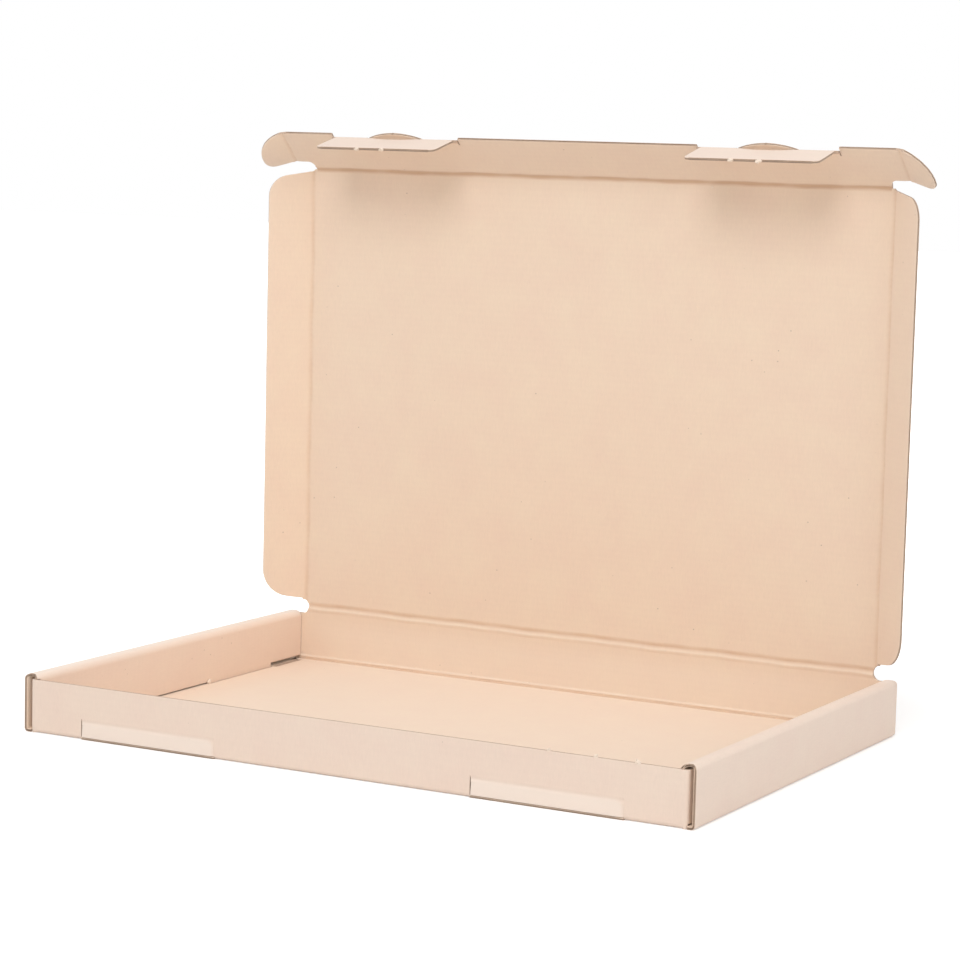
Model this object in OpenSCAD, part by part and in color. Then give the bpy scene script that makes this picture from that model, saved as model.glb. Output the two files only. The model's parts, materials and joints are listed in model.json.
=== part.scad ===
// Roll-end corrugated mailer box, lid standing open.
// One die-cut sheet of thin corrugated board, folded without glue: a tray with
// double side walls, and a hinged lid with dust flaps, a front flap, two ears
// and two lock tabs that push into slots at the foot of the front wall.
// +X runs along the front to the right, +Y towards the hinge, +Z up.
// The origin is on the table, under the middle of the tray's floor.

/* [Board] */
// Thickness of the board
board_t = 1.5; // [1.2:0.1:1.8]
// Outside radius of a right-angle fold
fold_r = 2; // [1.9:0.1:2.6]
// Room left each side of a hinge crease's line, so that it can fold
crease_gap = 0.9; // [0.9:0.05:1.1]
// How much smaller than the crease's room the crushed bead in it is
bead_clear = 0.1; // [0.05:0.05:0.2]

/* [Tray] */
// Outside width of the tray
tray_w = 350; // [320:5:420]
// Outside depth of the tray
tray_d = 235; // [200:5:320]
// Height of the rolled side walls
side_h = 28; // [24:1:60]
// How far the front wall's cut edge is below the side walls' tops
front_drop = 2.5; // [2:0.5:4]
// How far the lid's crease is above the side walls' tops
hinge_rise = 2.5; // [2:0.5:4]
// Thickness of a rolled side wall over both its layers
roll_w = 8; // [7:0.5:10]
// Outside radius of the roll's outer edge
roll_r_out = 2.5; // [2:0.5:3]
// Outside radius of the roll's inner edge
roll_r_in = 3.5; // [2:0.5:3.5]
// Gap between a side wall's outer layer and the corner flaps inside it
corner_gap = 2; // [1.8:0.1:2.5]
// Length of a corner flap along the side wall
corner_flap_len = 62; // [30:2:80]
// Room between board that slides in and the board round it
slot_clear = 0.4; // [0.3:0.1:0.8]

/* [Floor locks] */
// Distance from the middle of the tray to a locking tab's near end
lock_from = 26; // [15:1:35]
// Length of each locking tab of the rolled walls
lock_len = 60; // [30:1:60]
// Gap below the rolled layer where it has no locking tab
lock_rise = 2.2; // [1.8:0.1:3]

/* [Lid] */
// Gap between the lid's side creases and the rolled walls' inner faces
lid_clear = 2.7; // [2:0.1:4]
// Gap between the closed front flap and the front wall
flap_clear = 1.2; // [0.4:0.1:1.5]
// Gap between the closed dust flaps and the floor
dust_lift = 4.6; // [2:0.2:10]
// Radius of a dust flap's corner near the lid's hinge
dust_r_back = 15; // [5:1:16]
// Radius of a dust flap's corner near the front flap
dust_r_front = 11.5; // [5:0.5:14]
// Slant of the dust flap's edge near the lid's hinge
dust_slant = 3; // [0:0.5:4]
// Slant of the dust flap's edge near the front flap, which clears the ears
dust_slant_front = 4; // [2:0.5:5]
// Radius of the round notches at the ends of the lid's two long creases
notch_r = 3.8; // [3:0.1:4.5]

/* [Front flap] */
// Height of the closed front flap's lower edge above the table
flap_lift = 3.3; // [2:0.1:5]
// How much the edge between the lock tabs is cut back
flap_step = 1.1; // [0:0.1:2]
// Start of the ears and of the flap's wider part, from the lid's crease
ear_start = 5.8; // [5:0.1:8]
// Reach of an ear beyond its crease
ear_len = 17; // [10:1:18]
// Radius of an ear's lower corner
ear_r = 5; // [3:0.5:6]

/* [Lock tabs] */
// Height of the closed lock tabs' creases above the table
tab_z = 6; // [5.5:0.1:7.2]
// Distance from the middle to each slot's near end
slot_from = 67; // [50:1:74]
// Length of each slot in the front wall
slot_len = 74.8; // [60:0.1:75]
// Height of the slot panels at the foot of the front wall
slot_h = 8.5; // [8.2:0.1:10]
// Outward tilt of the slot panels in degrees
slot_tilt = 4; // [0:0.5:5]
// Reach of a lock tab beyond its crease
tab_len = 22.5; // [12:0.5:24]
// Radius of a lock tab's corners
tab_r = 3; // [2:0.5:7]
// Taper of a lock tab's ends
tab_taper = 1.8; // [0:0.1:4]
// Width of the half-moon tongue beyond the tab's crease
moon_w = 32; // [20:1:40]
// Reach of the half-moon tongue beyond the tab's crease
moon_h = 3.9; // [3:0.1:4.5]

/* [Open angles] */
// Fold of the dust flaps in degrees, 0 when flat
dust_fold = 43; // [20:1:75]
// Fold of the front flap in degrees, 0 when flat
flap_fold = 47; // [20:1:75]
// Fold of the ears in degrees, 0 when flat
ear_fold = 22; // [0:1:60]
// Fold of the lock tabs in degrees, 0 when flat
tab_fold = 57; // [20:1:80]

/* [Hidden] */
$fn = 64;

kraft_in = [0.91, 0.79, 0.69];
kraft_out = [0.93, 0.84, 0.76];
t = board_t;
bead_r = min(crease_gap - bead_clear, t / 2 + 0.05);
hw = tray_w / 2;
hd = tray_d / 2;
front_h = side_h - front_drop;
hinge_z = side_h + hinge_rise;
hinge_y = hd - t / 2;
// Face of the rolled wall that looks into the tray
roll_x = hw - roll_w;
// Outer face of the corner flaps, and so the end of the front wall
corner_x = hw - t - corner_gap;
// Side creases of the lid, and the lid's length between its creases
lid_hw = roll_x - lid_clear;
lid_len = hinge_y + hd + flap_clear + t / 2;
dust_w = hinge_z - t - dust_lift;
// End creases of the front flap: the closed ears stand in the corner gap
flap_hw = corner_x + corner_gap / 2 + 0.1;
tab_s = hinge_z - tab_z;
flap_s = hinge_z - flap_lift;
// Inner end of the notches
notch_x = lid_hw - 1.7;
slot_mid = slot_from + slot_len / 2;
tab_hw = slot_len / 2 - slot_clear;
// Runs of a locking tab, and of the inner layer's raised ends and middle
tab_run = lock_len - 2 * slot_clear;
end_run = hd - lock_from - lock_len + slot_clear;
mid_run = 2 * (lock_from + slot_clear);
// The walls' flat part starts above the floor's fold
wall_z = fold_r + 0.2;
// Rounding of the rolled walls' ends, seen from the side
end_round = 2;
// Radius of the arc that has the half-moon's width and height
moon_r = (moon_w * moon_w / 4 + moon_h * moon_h) / (2 * moon_h);

// A strip of board seen edge on, folded as it goes. Each entry of segs is
// [length, fold angle, outside radius]: a flat run, and then a fold to the
// left (angle above 0). The strip starts at the origin and runs along +X, and
// its outer liner is on the -Y side.
module folded_strip(segs, i = 0) {
    len_i = segs[i][0];
    angle = segs[i][1];
    radius = segs[i][2];
    square([len_i, t]);
    if (angle > 0) {
        translate([len_i, radius]) {
            bend_sector(radius, angle);
            if (i + 1 < len(segs)) {
                rotate(angle) translate([0, -radius]) folded_strip(segs, i + 1);
            }
        }
    }
}

// The bent part of a strip: a ring sector that starts straight down and turns
// to the left
module bend_sector(radius, angle) {
    difference() {
        intersection() {
            circle(radius);
            polygon([
                [0, 0],
                [0, -2 * radius],
                2 * radius * [sin(angle / 2), -cos(angle / 2)],
                2 * radius * [sin(angle), -cos(angle)]
            ]);
        }
        circle(radius - t);
    }
}

// The crushed bead along a hinge crease: it lies on X from x0 to x1, with a
// neck that joins it to the parent's board at z below 0
module bead(x0, x1) {
    translate([x0, 0, 0]) rotate([0, 90, 0]) cylinder(r = bead_r, h = x1 - x0);
    translate([x0, -t / 4, -crease_gap - 0.2]) cube([x1 - x0, t / 2, crease_gap + 0.2]);
}

// A flat panel whose outline is drawn in x and z, with the board's middle at y = 0
module panel() {
    rotate([90, 0, 0]) linear_extrude(height = t, center = true) children();
}

// The round-ended notch that frees the end of a crease, cut towards +x from x0
module notch_2d(x0, z0, reach) {
    translate([x0 + notch_r, z0]) circle(notch_r);
    translate([x0 + notch_r, z0 - notch_r]) square([reach, 2 * notch_r]);
}

// Frames of the hinged pieces, each with its crease on the local X or Z axis
module at_lid() {
    translate([0, hinge_y, hinge_z]) children();
}

module at_dust() {
    at_lid() translate([lid_hw, 0, 0]) rotate([0, 0, -dust_fold]) children();
}

module at_flap() {
    at_lid() translate([0, 0, lid_len]) rotate([flap_fold, 0, 0]) children();
}

module at_ear() {
    at_flap() translate([flap_hw, 0, 0]) rotate([0, 0, -ear_fold]) children();
}

module at_tab() {
    at_flap() translate([slot_mid, 0, tab_s]) rotate([tab_fold, 0, 0]) children();
}

// One rolled side wall, on the +X side: floor fold, outer layer, spine and inner
// layer, with the inner layer's locking tabs down in the floor's slots
module rolled_wall() {
    relief_x = roll_x - 1;
    relief_w = roll_w - t - corner_gap / 2 + 1;
    difference() {
        translate([0, hd, 0]) rotate([90, 0, 0]) linear_extrude(height = tray_d)
            translate([hw - fold_r - 1, 0]) folded_strip([
                [1, 90, fold_r],
                [side_h - fold_r - roll_r_out, 90, roll_r_out],
                [roll_w - roll_r_out - roll_r_in, 90, roll_r_in],
                [side_h - roll_r_in - t, 0, 0]
            ]);
        // In front the inner layer stops at the front wall and bridges its top
        translate([relief_x, -hd - 1, t / 2])
            cube([relief_w, 1 + t + slot_clear, front_h + slot_clear - t / 2]);
        // At the back the spine stops at the back wall too
        translate([relief_x, hd - t - slot_clear, t / 2])
            cube([roll_w - roll_r_out + 1, t + slot_clear + 1, side_h]);
        // The inner layer stops short of the floor between its locking tabs
        translate([relief_x, -mid_run / 2, t / 2])
            cube([t + 2, mid_run, t / 2 + lock_rise / 2]);
        for (s = [-1, 1]) {
            translate([relief_x, s * (hd - end_run / 2) - end_run / 2, t / 2])
                cube([t + 2, end_run, t / 2 + lock_rise]);
            roll_end_round(s);
        }
    }
    for (s = [-1, 1]) {
        translate([roll_x, s * (lock_from + lock_len / 2) - tab_run / 2, 0.2])
            cube([t, tab_run, t + 1]);
    }
}

// What the die takes off the top corner of a rolled wall's end
module roll_end_round(s) {
    r = end_round;
    translate([roll_x - 1, s * (hd - r), side_h - r]) rotate([0, 90, 0]) difference() {
        translate([-r - 1, s > 0 ? 0 : -r - 1, 0]) cube([r + 1, r + 1, roll_w + 2]);
        translate([0, 0, -1]) cylinder(r = r, h = roll_w + 4);
    }
}

// The front or back wall with its two corner flaps, seen from above. It runs
// along X with its outer liner at y = 0 and the flaps behind it
module wall_strip_2d() {
    run = 2 * (corner_x - fold_r);
    for (m = [0, 1]) mirror([m, 0])
        translate([-run / 2, 0]) folded_strip([[run, 90, fold_r], [corner_flap_len, 0, 0]]);
}

// The fold from the floor up into the front or back wall
module foot_fold() {
    run = 2 * corner_x - 1;
    rotate([90, 0, -90]) translate([0, 0, -run / 2]) linear_extrude(height = run)
        translate([-fold_r - 1, 0]) folded_strip([[1, 90, fold_r], [1, 0, 0]]);
}

// Slot at the foot of the front wall, open down to the crease
module slot_cut() {
    translate([slot_from, -hd - 1, -1]) cube([slot_len, fold_r + 0.8, slot_h + 1]);
}

// The panel that hangs in a slot from the soft crease above it
module slot_panel() {
    w = slot_len - slot_clear;
    h = slot_h - slot_clear / 2;
    translate([slot_from + slot_clear / 2, -hd + t / 2, slot_h])
        rotate([-slot_tilt, 0, 0]) translate([0, 0, -h]) panel() square([w, h + 0.25]);
}

// The floor, with the slots that take the rolled walls' locking tabs
module floor_panel() {
    slot_w = t + 2 * slot_clear;
    difference() {
        translate([-hw + fold_r, -hd + fold_r, 0])
            cube([tray_w - 2 * fold_r, tray_d - 2 * fold_r, t]);
        for (side = [-1, 1], s = [-1, 1]) {
            translate([side * (roll_x + t / 2) - slot_w / 2,
                       s * (lock_from + lock_len / 2) - lock_len / 2, -1])
                cube([slot_w, lock_len, t + 2]);
        }
    }
}

module front_wall() {
    difference() {
        union() {
            translate([0, -hd, wall_z]) linear_extrude(height = front_h - wall_z) wall_strip_2d();
            translate([0, -hd, 0]) foot_fold();
        }
        for (m = [0, 1]) mirror([m, 0, 0]) slot_cut();
    }
    for (m = [0, 1]) mirror([m, 0, 0]) slot_panel();
}

// The back wall rises to the lid's crease between its two end notches
module back_wall() {
    low_h = hinge_z - notch_r;
    difference() {
        union() {
            translate([0, hd, wall_z]) mirror([0, 1, 0]) linear_extrude(height = low_h - wall_z)
                wall_strip_2d();
            translate([0, hd, 0]) mirror([0, 1, 0]) foot_fold();
            translate([-notch_x - notch_r, hd - t, wall_z])
                cube([2 * (notch_x + notch_r), t, hinge_z - crease_gap - wall_z]);
        }
        for (m = [0, 1]) mirror([m, 0, 0]) at_lid() rotate([90, 0, 0])
            linear_extrude(height = 3 * t, center = true) notch_2d(notch_x, 0, 30);
        // The corner flaps pass under the spine of the rolled walls
        for (m = [0, 1]) mirror([m, 0, 0])
            translate([roll_x - 1, 0, side_h - t - slot_clear]) cube([roll_w, hd - t - 0.1, 10]);
    }
    at_lid() bead(-notch_x + 0.2, notch_x - 0.2);
}

module tray() {
    color(kraft_out) {
        floor_panel();
        for (m = [0, 1]) mirror([m, 0, 0]) rolled_wall();
        front_wall();
        back_wall();
    }
}

module lid() {
    w = 2 * (lid_hw - crease_gap);
    h = lid_len - 2 * crease_gap;
    color(kraft_in) at_lid() {
        panel() difference() {
            translate([-w / 2, crease_gap]) square([w, h]);
            for (m = [0, 1]) mirror([m, 0]) {
                notch_2d(notch_x, 0, 30);
                notch_2d(notch_x, lid_len + ear_start - notch_r, 30);
            }
        }
        // Beads of the side creases, and of the front flap's crease
        for (m = [0, 1]) mirror([m, 0, 0]) translate([lid_hw, 0, 0])
            rotate([0, 90, 0]) bead(-(lid_len - 3), -(notch_r + 1));
        translate([0, 0, lid_len]) bead(-notch_x + 0.4, notch_x - 0.4);
    }
}

// Outline of a dust flap: x runs out from its crease, and y along it
module dust_2d() {
    y0 = notch_r + 0.6;
    y1 = lid_len - 1.6;
    difference() {
        // Both ends slant, so that the flap clears the hinge and the ears
        polygon([
            [crease_gap, y0],
            [dust_w, y0 + dust_slant],
            [dust_w, y1 - dust_slant_front],
            [crease_gap, y1]
        ]);
        corner_cut([dust_w, y0 + dust_slant / 2], min(dust_r_back, dust_w - 3), [1, -1]);
        corner_cut([dust_w, y1 - dust_slant_front / 2], min(dust_r_front, dust_w - 3), [1, 1]);
    }
}

// What rounds an outside corner at p, which points along d
module corner_cut(p, r, d) {
    translate(p) scale([d[0], d[1]]) translate([-r, -r]) difference() {
        square(2 * r);
        circle(r);
    }
}

module dust_flap() {
    at_dust() panel() dust_2d();
}

module dust_flap_right() {
    color(kraft_in) dust_flap();
}

module dust_flap_left() {
    color(kraft_in) mirror([1, 0, 0]) dust_flap();
}

// Half of the front flap's outline, with the opening for a lock tab
module flap_half_2d() {
    tab_top = tab_s - crease_gap;
    difference() {
        union() {
            translate([-0.01, crease_gap])
                square([lid_hw - crease_gap, flap_s - crease_gap - flap_step]);
            translate([0, ear_start]) square([flap_hw - crease_gap, tab_top - ear_start]);
            translate([slot_from + slot_len, ear_start])
                square([flap_hw - crease_gap - slot_from - slot_len, flap_s - ear_start]);
        }
        translate([slot_from, tab_top]) square([slot_len, 30]);
        notch_2d(notch_x, ear_start - notch_r, 30);
    }
    // The half-moon tongue
    intersection() {
        translate([slot_mid, tab_s + moon_h - moon_r]) circle(moon_r);
        translate([slot_mid - moon_w / 2, tab_top - 0.5]) square([moon_w, moon_h + crease_gap + 1]);
    }
}

module front_flap() {
    color(kraft_in) at_flap() {
        panel() for (m = [0, 1]) mirror([m, 0]) flap_half_2d();
        for (m = [0, 1]) mirror([m, 0, 0]) {
            translate([flap_hw, 0, 0]) rotate([0, 90, 0]) bead(-(flap_s - 1.5), -(ear_start + 0.8));
            translate([slot_mid, 0, tab_s]) {
                bead(-tab_hw + 0.3, -moon_w / 2 + 0.01);
                bead(moon_w / 2 - 0.01, tab_hw - 0.3);
            }
        }
    }
}

// Outline of an ear: x runs out from its crease, and y along it
module ear_2d() {
    y0 = ear_start + 0.2;
    y1 = flap_s;
    w = ear_len;
    // The upper side falls away along a quarter of an ellipse
    intersection() {
        translate([crease_gap, y0]) square([w - crease_gap, y1 - y0]);
        union() {
            translate([0, y0 + 6]) ellipse_2d(w, y1 - y0 - 6);
            translate([0, y0]) square([w, 6.2]);
        }
        union() {
            translate([0, y0]) square([w - ear_r, y1]);
            translate([0, y0 + ear_r]) square([w, y1]);
            translate([w - ear_r, y0 + ear_r]) circle(ear_r);
        }
    }
}

// An ellipse's upper right quarter, as a polygon that follows its equation
module ellipse_2d(a, b) {
    steps = 24;
    polygon(concat([[0, 0]], [for (i = [0 : steps]) [a * cos(90 * i / steps), b * sin(90 * i / steps)]]));
}

module ear() {
    at_ear() panel() ear_2d();
}

module ear_right() {
    color(kraft_out) ear();
}

module ear_left() {
    color(kraft_out) mirror([1, 0, 0]) ear();
}

// Outline of a lock tab: x runs along its crease, and y away from it
module tab_2d() {
    w = tab_hw;
    difference() {
        polygon([[-w, crease_gap], [w, crease_gap], [w - tab_taper, tab_len], [-w + tab_taper, tab_len]]);
        for (d = [-1, 1]) corner_cut([d * (w - tab_taper), tab_len], tab_r, [d, 1]);
        // The half-moon's place, left open when the tab is folded
        intersection() {
            translate([0, moon_h - moon_r]) circle(moon_r + slot_clear);
            translate([-moon_w / 2 - slot_clear, -1]) square([moon_w + 2 * slot_clear, moon_h + 3]);
        }
    }
}

module lock_tab() {
    at_tab() panel() tab_2d();
}

module lock_tab_right() {
    color(kraft_out) lock_tab();
}

module lock_tab_left() {
    color(kraft_out) mirror([1, 0, 0]) lock_tab();
}

tray();
lid();
dust_flap_left();
dust_flap_right();
front_flap();
ear_left();
ear_right();
lock_tab_left();
lock_tab_right();
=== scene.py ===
# %% [markdown]
# # A corrugated mailer box, standing open
#
# The real object is one sheet of thin corrugated board, cut by a die and
# folded without glue. This lesson builds it as board and not as blocks: every
# panel gets its two paper liners and the wavy paper between them, so that the
# cut edges show flutes, and every crease is a strip of crushed paper, folded
# at its joint's angle. The imported CAD model comes first, because it says
# where each panel and each joint is.

# %% Load the imported frame
import json
import math

import bpy
import numpy as np
from mathutils import Matrix, Vector

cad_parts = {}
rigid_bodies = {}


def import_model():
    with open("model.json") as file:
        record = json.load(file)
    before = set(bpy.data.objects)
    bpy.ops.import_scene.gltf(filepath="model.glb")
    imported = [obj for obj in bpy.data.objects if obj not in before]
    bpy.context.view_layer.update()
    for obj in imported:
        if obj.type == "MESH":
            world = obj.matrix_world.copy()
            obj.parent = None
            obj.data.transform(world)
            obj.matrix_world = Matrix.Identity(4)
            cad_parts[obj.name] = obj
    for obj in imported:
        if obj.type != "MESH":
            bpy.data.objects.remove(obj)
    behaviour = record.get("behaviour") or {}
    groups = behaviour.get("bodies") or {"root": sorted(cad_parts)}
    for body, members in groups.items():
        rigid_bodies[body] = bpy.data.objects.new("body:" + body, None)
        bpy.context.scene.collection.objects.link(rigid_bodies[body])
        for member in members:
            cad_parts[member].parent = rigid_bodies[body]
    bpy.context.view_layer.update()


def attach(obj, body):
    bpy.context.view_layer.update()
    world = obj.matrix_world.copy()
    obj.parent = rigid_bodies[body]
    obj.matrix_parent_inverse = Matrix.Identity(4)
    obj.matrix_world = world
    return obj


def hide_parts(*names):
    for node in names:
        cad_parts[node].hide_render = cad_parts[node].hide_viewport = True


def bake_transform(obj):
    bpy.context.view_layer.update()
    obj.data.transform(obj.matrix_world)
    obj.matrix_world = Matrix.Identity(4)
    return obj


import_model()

# %% [markdown]
# ## The camera first
#
# A camera solve on the photograph gave the place below: a long lens, a little
# to the right of the front and a little above the box. The roll is small but
# real. The camera is set before the pieces.

# %% Camera
MM = 0.001
PICTURE_WIDTH = 960
FOCAL_PIXELS = 2929.9
SENSOR_WIDTH = 36.0
CAMERA_PLACE = np.array([667.62, -1217.54, 290.37])
CAMERA_LOOKS = np.array([-0.47500, 0.87185, -0.11938])
CAMERA_ROLL = math.radians(1.441)


def camera_axes(looks, roll):
    """The camera's right, up and back directions. Right is level before the
    roll, and the roll turns right and up about the line of sight."""
    looks = looks / np.linalg.norm(looks)
    level = np.cross(looks, [0, 0, 1])
    level = level / np.linalg.norm(level)
    up = np.cross(level, looks)
    right = math.cos(roll) * level + math.sin(roll) * up
    top = -math.sin(roll) * level + math.cos(roll) * up
    return right, top, -looks


camera_data = bpy.data.cameras.new("camera")
camera_data.sensor_width = SENSOR_WIDTH
camera_data.lens = FOCAL_PIXELS / PICTURE_WIDTH * SENSOR_WIDTH
camera_data.clip_start = 0.05
camera_data.clip_end = 20.0
camera = bpy.data.objects.new("camera", camera_data)
bpy.context.scene.collection.objects.link(camera)
placed = Matrix.Identity(4)
for column, direction in enumerate(camera_axes(CAMERA_LOOKS, CAMERA_ROLL)):
    for row in range(3):
        placed[row][column] = direction[row]
for row in range(3):
    placed[row][3] = CAMERA_PLACE[row] * MM
camera.matrix_world = placed
bpy.context.scene.camera = camera
print("lens %.1f mm at" % camera_data.lens, [round(x, 3) for x in camera.location])

# %% [markdown]
# ## Sizes
#
# These are the sizes of the CAD model, in millimetres, so that the paper lies
# exactly where the solids are. A few more belong to the paper alone: the
# thickness of a liner, the pitch of the flutes, and the width of the band that
# a creasing wheel crushes.

# %% Sizes in millimetres
BOARD = 1.5           # thickness of the board
LINER = 0.26          # thickness of each liner, with its glue line
FLUTING = 0.2         # thickness of the wavy paper
PITCH = 3.2           # from flute to flute
CREASE = 2.3          # half the width of a crushed crease
HINGE_CREASE = 3.0    # the same for the lid's long hinge crease

HALF_W = 175.0        # half the tray's width
HALF_D = 117.5        # half the tray's depth
SIDE_H = 28.0         # rolled side walls
FRONT_H = 25.5        # cut top edge of the front wall
HINGE_Z = 30.5        # the lid's crease
HINGE_Y = HALF_D - BOARD / 2
FOLD_R = 2.0          # outside radius of the folds round the floor
ROLL_W = 8.0          # over both layers of a rolled wall
ROLL_OUT_R = 2.5      # outside radius of the roll's outer edge
ROLL_IN_R = 3.5       # outside radius of the roll's inner edge
CORNER_X = 171.5      # outer face of the corner flaps
CORNER_FLAP = 62.0    # their length along the side wall
ROLL_X = HALF_W - ROLL_W
SLOT_CLEAR = 0.4
LOCK_FROM, LOCK_LEN, LOCK_RISE = 26.0, 60.0, 2.2

LID_HALF = 164.3      # the lid's side creases
LID_LEN = 236.2       # between its two long creases
DUST_W = 24.4         # width of a dust flap
NOTCH_R = 3.8
NOTCH_MID = 166.4     # middle of the round notches
FLAP_HALF = 172.6     # the ears' creases
FLAP_LEN = 27.2
FLAP_MID_LEN = 26.1
EAR_START, EAR_LEN, EAR_R = 5.8, 17.0, 5.0
SLOT_FROM, SLOT_LEN, SLOT_H = 67.0, 74.8, 8.5
TAB_MID = SLOT_FROM + SLOT_LEN / 2
TAB_AT = 24.5         # the lock tabs' creases, from the flap's own crease
TAB_LEN, TAB_R, TAB_TAPER = 22.5, 3.0, 1.8
TAB_HALF = SLOT_LEN / 2 - SLOT_CLEAR
MOON_W, MOON_H = 32.0, 3.9

DUST_FOLD, FLAP_FOLD, EAR_FOLD, TAB_FOLD = np.radians([43, 47, 22, 57])
print("board %.1f mm, %d flutes up the lid" % (BOARD, LID_LEN / PITCH))

# %% [markdown]
# ## From flat sheet to folded box
#
# Each panel is worked out flat, in three numbers: u along the flutes, v across
# them, and w through the thickness, with w above 0 towards the inside liner.
# A "place" function then carries flat points into the box. A flat panel only
# needs an origin and three directions. A folded strip needs a path of straight
# runs and bends, which is how a real sheet is folded up.

# %% Place functions
SIDES = ("right", "left")
MIRROR = np.array([-1.0, 1.0, 1.0])


def flat_place(origin, along_u, along_v, inside):
    """origin + u times along_u + v times along_v + w times inside."""
    axes = np.array([along_u, along_v, inside], float)
    origin = np.array(origin, float)
    return lambda points: origin + points @ axes


def mirrored(place):
    """The same place on the other half of the box: x changes its sign."""
    return lambda points: place(points) * MIRROR


def on_side(side, place):
    """The place itself on the right, and its mirror image on the left."""
    return place if side == "right" else mirrored(place)


def fold_path(steps):
    """The middle line of a folded strip, seen edge on, that starts at the
    origin along +a. Each step is (length, turn, middle radius): a straight run,
    and then a bend to the left by that many degrees. Returns a function of the
    distance s and the offset w to the left, which gives the points (a, b), and
    the stops at which the bends start and end. On a run the point is
    start + s * heading + w * left. On a bend it is
    centre - (radius - w) * left, with left turned by s / radius. The stops
    also divide each bend, every 12 degrees or so."""
    parts, stops = [], [0.0]
    start, heading, s = np.zeros(2), 0.0, 0.0
    for length, turn, radius in steps:
        parts.append((s, start, heading, None))
        s += length
        start = start + length * np.array([math.cos(heading), math.sin(heading)])
        stops.append(s)
        if turn:
            left = np.array([-math.sin(heading), math.cos(heading)])
            parts.append((s, start + radius * left, heading, radius))
            pieces = max(3, math.ceil(turn / 12))
            stops.extend(s + math.radians(turn) * radius * k / pieces for k in range(1, pieces))
            s += math.radians(turn) * radius
            heading += math.radians(turn)
            new_left = np.array([-math.sin(heading), math.cos(heading)])
            start = parts[-1][1] - radius * new_left
            stops.append(s)

    def at(s_now, w):
        a, b = np.zeros_like(s_now), np.zeros_like(s_now)
        for n, (s0, point, angle, radius) in enumerate(parts):
            s1 = parts[n + 1][0] if n + 1 < len(parts) else np.inf
            here = (s_now >= (s0 if n else -np.inf)) & (s_now <= s1)
            run, off = s_now[here] - s0, w[here]
            if radius is None:
                a[here] = point[0] + run * math.cos(angle) - off * math.sin(angle)
                b[here] = point[1] + run * math.sin(angle) + off * math.cos(angle)
            else:
                turned = angle + run / radius
                a[here] = point[0] + (radius - off) * np.sin(turned)
                b[here] = point[1] - (radius - off) * np.cos(turned)
        return a, b

    return at, stops


probe, _ = fold_path([(10, 90, 2), (5, 0, 0)])
print("a strip folded up by 90 degrees ends at", np.round(probe(np.array([18.1416]), np.zeros(1)), 3).ravel())

# %% [markdown]
# ## Paper as closed sheets
#
# Every paper layer is a closed thin solid: one grid, copied at two offsets and
# joined round its rim. Whole arrays make it, and the faces come out in a known
# order, so the face side, the hidden side and the cut rim can get different
# paper. A mirrored or folded sheet may come out inside out, so its signed
# volume is measured once it is in place, and its faces are turned if needed.

# %% A board's mesh, gathered layer by layer
INSIDE, OUTSIDE, RAW = 0, 1, 2


def sheet_faces(rows, columns):
    """Quads of a closed sheet over a grid of rows by columns points, which are
    first the low copy and then the high one: the low side, the high side, and
    the rim. The counts of each come with them."""
    index = np.arange(rows * columns).reshape(rows, columns)
    low = np.stack([index[:-1, :-1], index[1:, :-1], index[1:, 1:], index[:-1, 1:]], -1).reshape(-1, 4)
    high = low[:, ::-1] + rows * columns
    rim = np.concatenate([index[0, :-1], index[:-1, -1], index[-1, :0:-1], index[:0:-1, 0]])
    after = np.roll(rim, -1)
    wall = np.stack([rim, after, after + rows * columns, rim + rows * columns], -1)
    return low, high, wall


def signed_volume(points, quads):
    """The sum over each quad's two triangles of a . (b x c) / 6."""
    a, b, c, d = (points[quads[:, k]] for k in range(4))
    return (np.einsum("ij,ij->i", a, np.cross(b, c)) + np.einsum("ij,ij->i", a, np.cross(c, d))).sum() / 6


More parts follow.
